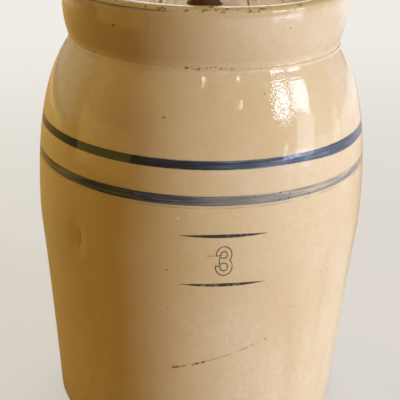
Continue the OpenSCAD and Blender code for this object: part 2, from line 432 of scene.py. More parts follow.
def crockPiece(materials):
    hand = crockHand
    outside = crockOutside()
    rows = np.vstack([outside, crockInside()])
    size = crockSteps["round"]
    angle = np.linspace(0, 2 * math.pi, size, endpoint=False)[None, :]
    radius = rows[:, :1] + 0 * angle
    height = rows[:, 1:] + 0 * angle
    fromCrease = height - creaseHeight
    # hand-thrown: a little out of round, with a rim that isn't quite level
    upper = np.clip(height / crockHeight, 0, 1)
    radius = radius + hand["oval"] * upper * np.cos(2 * (angle - hand["ovalTurn"]))
    isOutside = (np.arange(len(rows)) < len(outside))[:, None]
    marks = fingerRings(angle, height) + creaseShape(angle, fromCrease) - dentShape(angle, height)
    radius = radius + marks * isOutside
    top = np.clip(fromCrease / crockForm["collarHeight"], 0, 1)
    waves = [share * np.sin(count * angle + turn) for count, share, turn in hand["rimWaves"]]
    height = height - hand["rimSway"] * top * (hand["rimLevel"] + sum(waves))
    verts = np.stack([radius * np.sin(angle), -radius * np.cos(angle), height], axis=2).reshape(-1, 3)
    faces = joinRings(len(rows), size)
    slots = [0 if face[0] // size < len(outside) - 1 else 1 for face in faces]
    slots += [0] * size + [1] * size
    verts, faces = closeEnds(verts, faces, size, (0, 0, 0), (0, 0, crockForm["floorThickness"]))
    return addPiece("stonewareCrock", verts, faces, materials, "crock", ["crock"], slots)


# the crock's glaze and paint: scales are per metre, a span is the part of a noise that takes effect,
# a share is how much of a colour is mixed in, and a side is two bearings in degrees from the front,
# towards the right, and how soft they are

glazeTones = {
    "thin": tone(199, 165, 112),
    "collar": tone(180, 150, 104),
    "body": tone(209, 179, 130),
    "thick": tone(219, 193, 150),
    "rimWorn": tone(204, 176, 122),
    "grime": tone(70, 44, 16),
    "clay": tone(196, 176, 146),
    "speck": tone(52, 32, 14),
    "creaseShade": tone(120, 88, 40),
    "bare": tone(112, 78, 26),
    "pale": tone(236, 216, 180),
    "cobaltDeep": tone(30, 36, 42),
    "cobalt": tone(66, 78, 92),
    "cobaltThin": tone(128, 118, 102),
    "ink": tone(24, 30, 42),
    "scratch": tone(84, 54, 18),
    "smudge": tone(150, 112, 62),
}

bands = {
    "upper": {
        "low": 0.2343,
        "high": 0.2401,
        "load": 0.80,  # how much paint the brush left
        # more paint on the left is painted shade, less paint on the right is painted light
        "bandShadeSide": (-66, -10, 12.0),
        "bandShadeLoad": 0.42,
        "bandLitSide": (14, 48, 9.0),
        "bandLitLoad": 0.13,
        "spreadSide": (42, 120, 16.0),
        "spread": 0.0022,  # how far the paint is spread downwards there
    },
    "lower": {
        "low": 0.2099,
        "high": 0.2166,
        "load": 0.52,
        # more paint on the left is painted shade, less paint on the right is painted light
        "bandShadeSide": (-44, -2, 12.0),
        "bandShadeLoad": 0.22,
        "bandLitSide": (17, 110, 34.0),
        "bandLitLoad": 0.27,
    },
}

brush = {
    "edge": 0.0005,
    "sway": 0.0007,
    "swayScale": 9.0,
    "rag": 0.0006,
    "ragScale": 420.0,
    "bristleStretch": (24, 24, 1500),
    "bristleLoad": 1.5,
    "poolStretch": (42, 42, 420),
    "poolShift": (3, 1, 2),
    "poolLoad": 0.7,
    "loadVary": 0.8,
    "dotScale": 330.0,
    "dotSize": (0.16, 0.30),
    "dotLoad": 0.5,
    "coats": {"cobaltThin": (0.02, 0.34), "cobalt": (0.36, 0.70), "cobaltDeep": (0.58, 0.95)},
    "strayDrop": 0.0016,  # a stray line below the lower band
    "straySize": (0.00016, 0.00064),
    "strayStretch": (60, 60, 60),
    "strayShift": (5, 2, 9),
    "straySpan": (0.40, 0.62),
    "strayShare": 0.55,
}


def paintBands(colour, place, degrees, z):  # two brushed bands, the lower one thinner
    level = z + (place.noise(brush["swayScale"], detail=1.0) - 0.5) * brush["sway"]
    ragged = level + (place.noise(brush["ragScale"]) - 0.5) * brush["rag"]
    bristle = place.streaks(brush["bristleStretch"], detail=3.0, rough=0.6)
    pool = place.streaks(brush["poolStretch"], brush["poolShift"])
    load = (bristle - 0.5) * brush["bristleLoad"] + (pool - 0.5) * brush["poolLoad"]
    dots = place.scattered(brush["dotScale"], *brush["dotSize"], channel=1)
    for band in bands.values():
        span = (band["low"], band["high"], brush["edge"])
        mask = ragged.within(*span)
        if "spread" in band:
            lowered = ragged + degrees.within(*band["spreadSide"]) * band["spread"]
            mask = mask.most(lowered.within(*span))
        # painted shade: more paint on the left; painted light: less paint on the right
        bandShade = degrees.within(*band["bandShadeSide"]) * band["bandShadeLoad"]
        light = degrees.within(*band["bandLitSide"]) * band["bandLitLoad"]
        amount = band["load"] + bandShade - light
        paint = mask * (amount + load * brush["loadVary"] + dots * brush["dotLoad"])
        for coat, thickness in brush["coats"].items():
            colour = paint.rise(*thickness).mixed(colour, glazeTones[coat])
    stray = ragged.near(bands["lower"]["low"] - brush["strayDrop"], *brush["straySize"])
    broken = place.streaks(brush["strayStretch"], brush["strayShift"]).rise(*brush["straySpan"])
    return (stray * broken * brush["strayShare"]).mixed(colour, glazeTones["cobaltThin"])


mark = {
    "turn": math.radians(7.8),
    "height": 0.170,
    "figureHeight": 0.0217,
    "upperBowl": 0.0043,
    "stroke": 0.0036,
    "line": 0.0008,  # the figure is only outlined
    "bowlWiden": 0.87,
    "bowlEnd": -0.0007,  # where each open bowl stops, from its own middle
    "barTop": -0.0022,
    "barEnd": -0.0036,
    "ruleHalf": 0.031,
    "ruleGap": 0.0185,
    "ruleThick": 0.0013,
    "ruleEnd": (0.97, 1.0),
    "soft": 0.00028,
    "ink": 0.68,
    "inkVary": 0.30,
    "inkScale": 260.0,
    "inkSpan": (0.30, 0.50),
}


def threeMask(u, v, grow):  # the capacity figure: two open bowls of one stroke, joined at the middle
    height = mark["figureHeight"]
    half = mark["stroke"] / 2
    soft = mark["soft"]
    upperRadius = mark["upperBowl"]
    lowerRadius = height / 2 - half - upperRadius
    upperCentre = height / 2 - half - upperRadius
    lowerCentre = half + lowerRadius - height / 2
    across = u / mark["bowlWiden"]
    masks = []
    for centre, radius, sign in ((upperCentre, upperRadius, 1), (lowerCentre, lowerRadius, -1)):
        along = v - centre
        ring = 1 - (abs(across.reach(along) - radius) - half - grow).rise(-soft, soft)
        # open the bowl on the left, towards the middle of the figure
        outward = along * sign
        bowl = (outward - mark["bowlEnd"] + grow).rise(-soft, soft)
        barStart = (mark["barTop"] - outward + grow).rise(-soft, soft)
        bar = barStart * (across - mark["barEnd"] + grow).rise(-soft, soft)
        masks.append(ring * bowl.most(bar).most((across + grow).rise(-soft, soft)))
    return masks[0].most(masks[1])


def ruleMask(u, v, height):  # a printer's rule that swells in the middle
    share = abs(u) / mark["ruleHalf"]
    thick = mark["ruleThick"] * (1 - share * share)
    line = 1 - (abs(v - height) - thick).rise(-mark["soft"], mark["soft"])
    return line * (1 - share.rise(*mark["ruleEnd"]))


def stampMark(colour, place, turn, z):  # the capacity mark
    u = (turn - mark["turn"]) * bellyRadius
    v = z - mark["height"]
    figure = threeMask(u, v, mark["line"] / 2) * (1 - threeMask(u, v, -mark["line"] / 2))
    rules = ruleMask(u, v, mark["ruleGap"]).most(ruleMask(u, v, -mark["ruleGap"]))
    taken = place.noise(mark["inkScale"], detail=3.0).rise(*mark["inkSpan"])
    inked = taken * mark["inkVary"] + mark["ink"]
    return (figure.most(rules) * inked).mixed(colour, glazeTones["ink"])


# small flaws by the tone that they show: bearing in degrees, height and size in metres
spots = {
    "speck": {
        "lift": -0.00015,
        "marks": [
            (-34.5, 0.3195, 0.0011),
            (-12.9, 0.2658, 0.0006),
            (-12.2, 0.2663, 0.0007),
            (-20.2, 0.2850, 0.0004),
            (21.8, 0.2802, 0.0005),
            (32.2, 0.3208, 0.0006),
            (-9.8, 0.1619, 0.0006),
            (44.8, 0.1446, 0.0006),
            (32.5, 0.1245, 0.0005),
            (-9.8, 0.1303, 0.0005),
        ],
    },
    "pale": {  # blisters, raised, each with a painted highlight in the pale tone
        "lift": 0.00020,
        "marks": [
            (-6.5, 0.2004, 0.0008),
            (10.0, 0.1030, 0.0008),
        ],
    },
}
spotEdge = (0.6, 1.2)  # in sizes of the spot
spotShare = 0.9

scratch = {
    "start": -8.25,
    "height": 0.0804,
    "rise": 0.00052,  # per degree
    "bend": 0.0000043,  # per degree squared
    "wander": 0.0012,
    "wanderScale": 170.0,
    "ragScale": 480.0,
    "ragSpan": (0.34, 0.52),
    "least": 0.45,
    "ragShare": 0.55,
    "edge": (0.4, 1.7),  # in half thicknesses
    "endSoft": 0.3,
    "depth": 0.00015,
    "marks": [  # start and end in degrees, half thickness, darkness
        (-8.3, -5.8, 0.0007, 0.90),
        (-5.4, -3.4, 0.0004, 0.80),
        (-1.4, 1.0, 0.0008, 1.00),
        (1.6, 3.0, 0.0007, 0.95),
        (3.0, 11.7, 0.0003, 0.60),
        (14.0, 17.6, 0.0004, 0.65),
        (18.9, 19.8, 0.0005, 0.70),
        (20.8, 21.8, 0.0003, 0.55),
        (23.3, 24.2, 0.0005, 0.60),
    ],
}

smudge = {
    "oval": (3.5, 0.1740, 0.0034, 0.0006),  # bearing, height, half width and half height
    "edge": (0.3, 1.3),
    "share": 0.8,
}

pebbled = {
    "oval": (28.2, 0.2760, 0.0135, 0.024),
    "edge": (0.5, 1.0),
    "scale": 520.0,
    "span": (0.15, 0.55),
    "depth": 0.00010,
    "rippleScale": 300.0,
    "ripple": 0.00008,
}

arcLength = math.radians(1) * bellyRadius  # one degree round the belly


def ovalReach(degrees, z, bearing, height, halfWidth, halfHeight):  # 1 at the edge of an upright oval
    return ((degrees - bearing) * (arcLength / halfWidth)).reach((z - height) / halfHeight)


def crockFlaws(colour, relief, place, degrees, z):
    tones = glazeTones
    # the specks are dark flecks in the glaze; the pale spots are painted highlights on the blisters
    for shade, flaw in spots.items():
        for bearing, height, size in flaw["marks"]:
            spot = 1 - ovalReach(degrees, z, bearing, height, size, size).rise(*spotEdge)
            colour = (spot * spotShare).mixed(colour, tones[shade])
            relief = relief + spot * flaw["lift"]
    # an old scratch that has taken up dirt
    run = degrees - scratch["start"]
    path = scratch["height"] + run * scratch["rise"] + run * run * scratch["bend"]
    off = abs(z - path + (place.noise(scratch["wanderScale"]) - 0.5) * scratch["wander"])
    rag = place.noise(scratch["ragScale"]).rise(*scratch["ragSpan"])
    inner, outer = scratch["edge"]
    lines = off * 0
    for start, end, half, dark in scratch["marks"]:
        line = 1 - off.rise(half * inner, half * outer)
        lines = lines.most(line * degrees.within(start, end, scratch["endSoft"]) * dark)
    dirt = scratch["least"] + rag * scratch["ragShare"]
    colour = (lines * dirt).mixed(colour, tones["scratch"])
    relief = relief - lines * scratch["depth"]
    # a faint brown smudge beside the figure
    smear = 1 - ovalReach(degrees, z, *smudge["oval"]).rise(*smudge["edge"])
    colour = (smear * rag * smudge["share"]).mixed(colour, tones["smudge"])
    # the fold in the finger dent
    centre = (dentForm["bearing"], dentForm["height"])
    ridge = 1 - ovalReach(degrees, z, *centre, *dentForm["ridgeHalf"]).rise(*dentForm["ridgeEdge"])
    relief = relief + ridge * dentForm["ridge"]
    # a patch of pebbled glaze on the shoulder
    patch = 1 - ovalReach(degrees, z, *pebbled["oval"]).rise(*pebbled["edge"])
    pebbles = 1 - place.cells(pebbled["scale"]).rise(*pebbled["span"])
    ripple = place.noise(pebbled["rippleScale"]) * pebbled["ripple"]
    return colour, relief + patch * (ripple - pebbles * pebbled["depth"])


# painted shade along the groove under the collar, lighter on its lit right side; the pits and the spatter
# are real dirt
grooveShadeAndDirt = {
    "size": (0.0002, 0.0009),
    "grooveLitSide": (26, 84, 14.0),
    "grooveLitShare": 0.8,
    "grooveShadeLeast": 0.05,
    "pitScale": 520.0,
    "pitSpan": (0.5, 0.7),
    "pitShare": 0.25,
    "spatterSize": (0.0004, 0.0020),
    "spatterSpan": (0.53, 0.60),
    "spatterSide": (-8, 10, 3.0),
    "spatterShare": 0.7,
    "spatterLeast": 0.08,
    "rough": 0.1,
}


def paintGrooveShadeAndDirt(colour, place, degrees, z):  # painted shade in the groove under the collar, less on its lit right side, with dark pits and spatter of dirt
    dirt = grooveShadeAndDirt
    pits = place.noise(dirt["pitScale"], detail=3.0, rough=0.6)
    grooveLit = degrees.within(*dirt["grooveLitSide"]) * dirt["grooveLitShare"]
    # painted shade along the crease, with the pits darker still
    creaseShade = z.near(creaseHeight, *dirt["size"]) * (1 - grooveLit)
    shadeAndPits = dirt["grooveShadeLeast"] + pits.rise(*dirt["pitSpan"]) * dirt["pitShare"]
    colour = (creaseShade * shadeAndPits).mixed(colour, glazeTones["creaseShade"])
    pitted = degrees.within(*dirt["spatterSide"]) * dirt["spatterShare"] + dirt["spatterLeast"]
    spatter = z.near(creaseHeight, *dirt["spatterSize"]) * pits.rise(*dirt["spatterSpan"])
    colour = (spatter * pitted).mixed(colour, glazeTones["grime"])
    return colour, creaseShade * dirt["rough"]


rimWear = {
    "edge": (-0.0006, 0.0008),  # from the height of the rim's edge
    "crest": (-0.004, -0.001),  # from the radius of its crest
    "share": 0.7,
    "grimeScale": 300.0,
    "grimeSpan": (0.53, 0.63),
    "grimeShare": 0.85,
    "patchScale": 40.0,
    "patchSpan": (0.40, 0.60),
    "bareAndShadeSide": (-64, -13, 4.0),  # a dark line where the glaze has drawn back from the rim's edge, kept to the left side as painted shade
    "bareSize": (0.0002, 0.0008),
    "bareAndShadeShare": 0.75,
    "wander": 0.0012,
    "wanderScale": 150.0,
    "rough": 0.12,
}


def wornRim(colour, place, degrees, across, z):  # worn and grimy on top, glossy at the mouth's edge
    wear = rimWear
    edgeLow, edgeHigh = wear["edge"]
    crestLow, crestHigh = wear["crest"]
    onRim = z.rise(rimEdgeHeight + edgeLow, rimEdgeHeight + edgeHigh)
    worn = onRim * across.rise(crestRadius + crestLow, crestRadius + crestHigh)
    grime = place.noise(wear["grimeScale"], detail=4.0, rough=0.65).rise(*wear["grimeSpan"])
    grime = grime * place.noise(wear["patchScale"]).rise(*wear["patchSpan"])
    colour = (worn * wear["share"]).mixed(colour, glazeTones["rimWorn"])
    colour = (worn * grime * wear["grimeShare"]).mixed(colour, glazeTones["grime"])
    rag = z + (place.noise(wear["wanderScale"]) - 0.5) * wear["wander"]
    # the dark line at the rim's edge: drawn-back glaze, and painted shade as it is kept to the shaded left
    # side
    bare = rag.near(rimEdgeHeight, *wear["bareSize"]) * degrees.within(*wear["bareAndShadeSide"])
    colour = (bare * wear["bareAndShadeShare"]).mixed(colour, glazeTones["bare"])
    return colour, worn * wear["rough"]


glaze = {
    "index": 1.55,
    "gloss": 0.05,
    "glossVary": 0.04,
    "cloudScale": 7.0,
    "cloudSpan": (0.36, 0.66),
    "streakStretch": (34, 34, 5),
    "streakShift": (2, 7, 1),
    "streakSpan": (0.5, 0.78),
    "streakShare": 0.5,
    "mottleScale": 52.0,
    "mottleSpan": (0.5, 0.75),
    "mottleShare": 0.35,
    "grainScale": 260.0,
    "grainSpan": (0.35, 0.65),
    "grainShare": 0.28,
    "speckScale": 58.0,  # small iron specks and pinholes all over
    "speckSize": (0.014, 0.030),
    "speckShare": 0.7,
    "speckPit": 0.00012,
    "peel": ((70.0, 0.00011), (24.0, 0.00020), (210.0, 0.00002)),  # scale and height of each
    "shadeSide": (-31, -12, 9.0),  # painted shade on the left front, in the thin glaze's tone, most of all on the shoulder
    "shadeShare": 0.3,
    "shadeShoulder": (0.19, 0.275, 0.02),
    "shadeShoulderShare": 0.65,
    "collarFade": 0.006,
    # the collar's glaze is a little darker all round, and painted shade darkens its left side further
    "collarShare": 0.38,
    "collarShadeSide": (-115, -14, 18.0),
    "collarShadeSideShare": 0.34,
    "footSpan": (0.0010, 0.0034),  # bare clay below
    "footRough": 0.6,
    "runs": ((110, 110, 9), (0, 0, 0), 0.00024),  # stretch, shift and height
    "ribs": ((12, 12, 150), (4, 8, 3), 0.00012),
    "drips": ((75, 75, 6), (1, 6, 2), 0.00012),
    "thrown": ((7, 7, 330), (2, 3, 1), 0.00010),
}


def outsideFinish(colour, roughness, relief, place):
    tones = glazeTones
    x, y, z = place.split()
    turn = x.maths("ARCTAN2", x, -y)
    degrees = turn * math.degrees(1)
    # painted shade: the thin glaze's tone mixed in on the left front, most of all on the shoulder
    paintedShade = glaze["shadeShare"] + z.within(*glaze["shadeShoulder"]) * glaze["shadeShoulderShare"]
    colour = (degrees.within(*glaze["shadeSide"]) * paintedShade).mixed(colour, tones["thin"])
    # the collar's glaze a little darker all round, with painted shade on its left side
    onCollar = z.rise(creaseHeight, creaseHeight + glaze["collarFade"])
    collarToneAndShade = glaze["collarShare"] + degrees.within(*glaze["collarShadeSide"]) * glaze["collarShadeSideShare"]
    colour = (onCollar * collarToneAndShade).mixed(colour, tones["collar"])
    colour = paintBands(colour, place, degrees, z)
    colour = stampMark(colour, place, turn, z)
    colour, relief = crockFlaws(colour, relief, place, degrees, z)
    colour, creviceRough = paintGrooveShadeAndDirt(colour, place, degrees, z)
    colour, wornRough = wornRim(colour, place, degrees, x.reach(y), z)
    foot = 1 - z.rise(*glaze["footSpan"])
    colour = foot.mixed(colour, tones["clay"])
    roughness = roughness + wornRough + foot * glaze["footRough"] + creviceRough
    # vertical runs and level ribs on the collar, drips and throwing lines all over
    lines = {}
    for key in ("runs", "ribs", "drips", "thrown"):
        stretch, shift, height = glaze[key]
        lines[key] = place.streaks(stretch, shift) * height
    relief = relief + lines["drips"] + lines["thrown"] + (lines["runs"] + lines["ribs"]) * onCollar
    return colour, roughness, relief


def crockGlaze(name, outside):
    tones = glazeTones
    material, shader, place = newLook(name, {"IOR": glaze["index"]})
    cloud = place.noise(glaze["cloudScale"], detail=3.0)
    streak = place.streaks(glaze["streakStretch"], glaze["streakShift"], detail=3.0)
    mottle = place.noise(glaze["mottleScale"], detail=3.0)
    grain = place.noise(glaze["grainScale"], detail=3.0, rough=0.7)
    speck = place.scattered(glaze["speckScale"], *glaze["speckSize"], channel=0)
    colour = cloud.rise(*glaze["cloudSpan"]).mixed(tones["body"], tones["thick"])
    colour = (streak.rise(*glaze["streakSpan"]) * glaze["streakShare"]).mixed(colour, tones["thin"])
    colour = (mottle.rise(*glaze["mottleSpan"]) * glaze["mottleShare"]).mixed(colour, tones["thick"])
    colour = (grain.rise(*glaze["grainSpan"]) * glaze["grainShare"]).mixed(colour, tones["thin"])
    colour = (speck * glaze["speckShare"]).mixed(colour, tones["speck"])
    roughness = glaze["gloss"] + cloud * glaze["glossVary"]
    relief = speck * -glaze["speckPit"]
    for scale, height in glaze["peel"]:
        relief = relief + place.noise(scale) * height
    if outside:
        colour, roughness, relief = outsideFinish(colour, roughness, relief, place)
    colour.feed(shader, "Base Color")
    roughness.feed(shader, "Roughness")
    relief.emboss(shader)
    return material


outsideGlaze = crockGlaze("stoneware glaze outside", True)
insideGlaze = crockGlaze("stoneware glaze inside", False)
crock = crockPiece([outsideGlaze, insideGlaze])
print("churn: crock thrown and glazed,", len(crock.data.polygons), "faces")


# wood for the lid and the dasher

woodGrain = {  # a stretch is the noise's scale across the fibres and along them
    "index": 1.46,
    "ringStretch": (16, 1.6),
    "ringShift": (1, 2.3, 0.7),  # times the seed
    "ringCount": 15,
    "lateSpan": (0.45, 0.93),
    "lateEnd": (0.95, 1.0),
    "lateDepth": 0.00005,
    "fibreStretch": (900, 16),
    "fibreSpan": (0.4, 0.75),
    "fibreShare": 0.45,
    "fibreRough": 0.2,
    "fibreHeight": 0.00018,
    "poreStretch": (620, 22),
    "poreSpan": (0.64, 0.74),
    "poreShare": 0.5,
    "poreDepth": 0.00016,
    "stainScale": 14.0,
    "stainSpan": (0.5, 0.75),
    "stainShare": 0.4,
    "bump": 0.8,
}
lidTones = {
    "early": tone(216, 184, 136),
    "late": tone(182, 144, 96),
    "pore": tone(116, 82, 48),
    "stain": tone(172, 136, 92),
}
staffTones = {
    "early": tone(118, 76, 42),
    "late": tone(82, 48, 25),
    "pore": tone(40, 23, 12),
    "stain": tone(64, 38, 20),
}
dasherTones = {
    "early": tone(196, 166, 122),
    "late": tone(160, 126, 84),
    "pore": tone(112, 84, 54),
    "stain": tone(150, 124, 92),
}
pegTones = {
    "early": tone(206, 172, 120),
    "late": tone(176, 138, 88),
    "pore": tone(126, 94, 58),
    "stain": tone(166, 132, 90),
}


def woodLook(name, grainAxis, tones, gloss, seed):  # grainAxis 0, 1 or 2: the axis that the fibres follow
    wood = woodGrain
    material, shader, place = newLook(name, {"IOR": wood["index"]})
    def along(stretch):
        return tuple(stretch[1] if axis == grainAxis else stretch[0] for axis in range(3))
    ringShift = tuple(seed * share for share in wood["ringShift"])
    slow = place.streaks(along(wood["ringStretch"]), ringShift, rough=0.45) * wood["ringCount"]
    rings = slow.maths("FRACT", slow)
    late = rings.rise(*wood["lateSpan"]) * (1 - rings.rise(*wood["lateEnd"]))
    fibre = place.streaks(along(wood["fibreStretch"]), (seed, 0, 0), detail=3.0, rough=0.6)
    pores = place.streaks(along(wood["poreStretch"]), (0, seed, 0), detail=1.0).rise(*wood["poreSpan"])
    stain = place.noise(wood["stainScale"], detail=3.0)
    colour = late.mixed(tones["early"], tones["late"])
    colour = (fibre.rise(*wood["fibreSpan"]) * wood["fibreShare"]).mixed(colour, tones["late"])
    colour = (pores * wood["poreShare"]).mixed(colour, tones["pore"])
    colour = (stain.rise(*wood["stainSpan"]) * wood["stainShare"]).mixed(colour, tones["stain"])
    colour.feed(shader, "Base Color")
    (gloss + fibre * wood["fibreRough"]).feed(shader, "Roughness")
    relief = fibre * wood["fibreHeight"] - pores * wood["poreDepth"] - late * wood["lateDepth"]
    relief.emboss(shader, wood["bump"])
    return material


# the lid

lidForm = {
    "edgeRound": 0.0025,
    "jointRound": 0.0010,
    "guideClearance": 0.0019,
    "capRings": 14,
    "capCore": 0.04,  # share of the outline left for the closing fan
    "arcSteps": 40,
    "edgeSteps": 30,
    "roundSteps": 5,
    "cup": 0.0004,
    "planeWave": 0.00012,  # hand-planed waves across the board, which wander along it
    "waveRate": 310,
    "waveWander": 1.3,
    "wanderRate": 40,
    "gloss": 0.42,
}
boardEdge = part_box("lid_board_left")[1].x
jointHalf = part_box("lid_board_middle")[1].x
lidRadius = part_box("lid_board_middle")[1].y
staffLow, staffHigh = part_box("dasher_staff")
staffRadius = staffHigh.x
holeRadius = staffRadius + lidForm["guideClearance"]


def boardOutline(lowX, highX, inset):  # plan of one lid board, drawn in by an inset
    form = lidForm
    radius = lidRadius - inset
    left = max(lowX + inset, -radius)
    right = min(highX - inset, radius)
    turns = np.linspace(math.acos(right / radius), math.acos(left / radius), form["arcSteps"])
    straight = np.linspace(-1, 1, form["edgeSteps"])[1:-1]
    points = [(radius * math.cos(turn), radius * math.sin(turn)) for turn in turns]
    top = points[-1][1]
    if lowX > -lidRadius:
        points += [(left, -top * share) for share in straight]
    points += [(x, -y) for x, y in reversed(points[:form["arcSteps"]])]
    side = points[0][1]
    if highX < lidRadius:
        points += [(right, side * share) for share in straight]
    elif side < 1e-6:
        points = points[:-1]  # the arcs meet in one point
    return np.array(points)


def lidBoard(name, lowX, highX, hole, material, node):
    form = lidForm
    low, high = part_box(node)
    edge = form["jointRound"] if hole else form["edgeRound"]
    curve = np.radians(np.linspace(0, 90, form["roundSteps"] + 1))
    bevel = [(edge * (1 - math.sin(a)), edge * (1 - math.cos(a))) for a in curve]
    side = [(boardOutline(lowX, highX, inset), low.z + lift) for inset, lift in bevel]
    side += [(boardOutline(lowX, highX, inset), high.z - lift) for inset, lift in reversed(bevel)]
    flatEdge = side[-1][0]
    centre = np.zeros(2) if hole else flatEdge.mean(axis=0)
    spokes = flatEdge - centre
    if hole:
        spokes = spokes / np.linalg.norm(spokes, axis=1)[:, None]
    inner = centre + spokes * (holeRadius + edge if hole else form["capCore"])
    cap = [flatEdge + (inner - flatEdge) * share for share in np.linspace(0, 1, form["capRings"] + 1)[1:]]
    shape = [(flat, low.z) for flat in reversed(cap)] + side + [(flat, high.z) for flat in cap]
    if hole:
        shape += [(spokes * (holeRadius + inset), high.z - lift) for inset, lift in bevel[1:]]
        shape += [(spokes * (holeRadius + inset), low.z + lift) for inset, lift in reversed(bevel[1:])]
    verts = np.vstack([np.column_stack([flat, np.full(len(flat), z)]) for flat, z in shape])
    size = len(flatEdge)
    faces = joinRings(len(shape), size, closed=hole)
    if not hole:
        verts, faces = closeEnds(verts, faces, size, (*centre, low.z), (*centre, high.z))
    # a little cupping across the board, and the waves
    x, y = verts[:, 0], verts[:, 1]
    middle = (lowX + highX) / 2
    halfWidth = (highX - lowX) / 2
    bend = form["cup"] * (((x - middle) / halfWidth) ** 2 - 0.5)
    wander = form["waveWander"] * np.sin(y * form["wanderRate"])
    verts[:, 2] += bend + form["planeWave"] * np.sin(x * form["waveRate"] + wander)
    return addPiece(name, verts, faces, [material], "lid", [node])


lidBoards = [  # name, left and right edge, whether bored, node and seed
    ("lidBoardLeft", -lidRadius, boardEdge, False, "lid_board_left", 1.7),
    ("lidBoardMiddle", -jointHalf, jointHalf, True, "lid_board_middle", 5.2),
    ("lidBoardRight", -boardEdge, lidRadius, False, "lid_board_right", 8.9),
]
for name, lowX, highX, hole, node, seed in lidBoards:
    boardWood = woodLook(name + " wood", 1, lidTones, lidForm["gloss"], seed)
    lidBoard(name, lowX, highX, hole, boardWood, node)
print("churn: lid boards laid")


# the dasher's staff

staffForm = {
    "topRound": 0.007,
    "topSteps": 10,
    "tenonShare": 0.715,  # of the staff's radius
    "segments": 64,
    "rows": 90,
    "sway": 0.00025,  # hand-shaved, so not quite round or straight
    "swayStart": 0.02,
    "swayWaves": ((23, 2, 0, 1.0), (61, 3, 1, 0.6)),  # rate up the staff and round it, turn and share
    "gloss": 0.34,
    "seed": 3.1,
}


def staffPiece(material):
    form = staffForm
    size = form["segments"]
    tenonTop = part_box("dasher_arm_upper")[1].z
    tenonRadius = staffRadius * form["tenonShare"]
    roundStart = staffHigh.z - form["topRound"]
    top = arc((staffRadius - form["topRound"], roundStart), form["topRound"], 0, 90, form["topSteps"])
    shaft = [(staffRadius, z) for z in np.linspace(tenonTop, roundStart, form["rows"])[:-1]]
    rows = np.vstack([[(tenonRadius, staffLow.z), (tenonRadius, tenonTop)], shaft, top[:-1]])
    angle = np.linspace(0, 2 * math.pi, size, endpoint=False)[None, :]
    height = rows[:, 1:] + 0 * angle
    free = np.clip((height - tenonTop) / form["swayStart"], 0, 1)
    shaved = -1
    for up, around, turn, share in form["swayWaves"]:
        shaved = shaved + share * np.sin(height * up + angle * around + turn)
    radius = rows[:, :1] + form["sway"] * free * shaved
    verts = np.stack([radius * np.cos(angle), radius * np.sin(angle), height], axis=2).reshape(-1, 3)
    faces = joinRings(len(rows), size)
    verts, faces = closeEnds(verts, faces, size, (0, 0, staffLow.z), (0, 0, staffHigh.z))
    return addPiece("dasherStaff", verts, faces, [material], "dasher", ["dasher_staff"])


staffPiece(woodLook("staff wood", 2, staffTones, staffForm["gloss"], staffForm["seed"]))
print("churn: dasher staff turned")


# pieces that keep the CAD shape and take a finish

brass = {
    "bright": tone(186, 148, 84),
    "dull": tone(120, 92, 52),
    "tarnishScale": 420.0,
    "tarnishSpan": (0.4, 0.65),
    "gloss": 0.28,
    "glossVary": 0.3,
}


def brassLook():
    material, shader, place = newLook("screw brass", {"Metallic": 1.0})
    tarnish = place.noise(brass["tarnishScale"], detail=3.0).rise(*brass["tarnishSpan"])
    tarnish.mixed(brass["bright"], brass["dull"]).feed(shader, "Base Color")
    (brass["gloss"] + tarnish * brass["glossVary"]).feed(shader, "Roughness")
    return material


def dress(node, material):
    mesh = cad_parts[node].data
    mesh.materials.clear()
    mesh.materials.append(material)


dressedWood = [  # node, finish, axis of the grain, tones, roughness and seed
    ("lid_cleat_front", "front cleat wood", 0, lidTones, 0.5, 12.4),
    ("lid_cleat_back", "back cleat wood", 0, lidTones, 0.5, 15.8),
    ("dasher_arm_upper", "upper arm wood", 0, dasherTones, 0.55, 21.0),
    ("dasher_arm_lower", "lower arm wood", 1, dasherTones, 0.55, 24.6),
    ("dasher_wedge", "wedge wood", 2, pegTones, 0.55, 27.2),
    ("dasher_pegs", "peg wood", 2, pegTones, 0.55, 29.5),
]
for node, *finish in dressedWood:
    dress(node, woodLook(*finish))
dress("lid_screws", brassLook())
print("churn: cleats, screws and cross finished")


# floor, light and camera

studio = {
    "floorHalf": 5.0,
    "floorTone": tone(176, 144, 98),
    "floorLit": tone(232, 230, 230),  # the side towards the key lamp throws more light up
    "litAcross": (-0.15, 0.15),
    "litBack": (0.0, 0.35),
    "floorPale": tone(150, 149, 148),
    "floorGlow": (0.45, 0.435, 0.435, 1.0),
    "floorFade": (0.4, 1.7),  # from here to here the floor runs out into the backdrop
    "floorShine": (0.75, 0.85, 1.05, 1.0),  # daylight on the floor to the right, as the glaze mirrors it
    "shineAcross": (0.1, 0.9),
    "worldTone": (1.0, 0.65, 0.06, 1.0),
    "worldLevel": 0.34,
    "backTone": tone(240, 236, 230),
    "backShine": 0.08,  # the backdrop as the glaze mirrors it
    "lampAim": 0.55,  # share of the crock's height
}
white = (1.0, 1.0, 1.0)
daylight = (0.9, 1.0, 1.2)

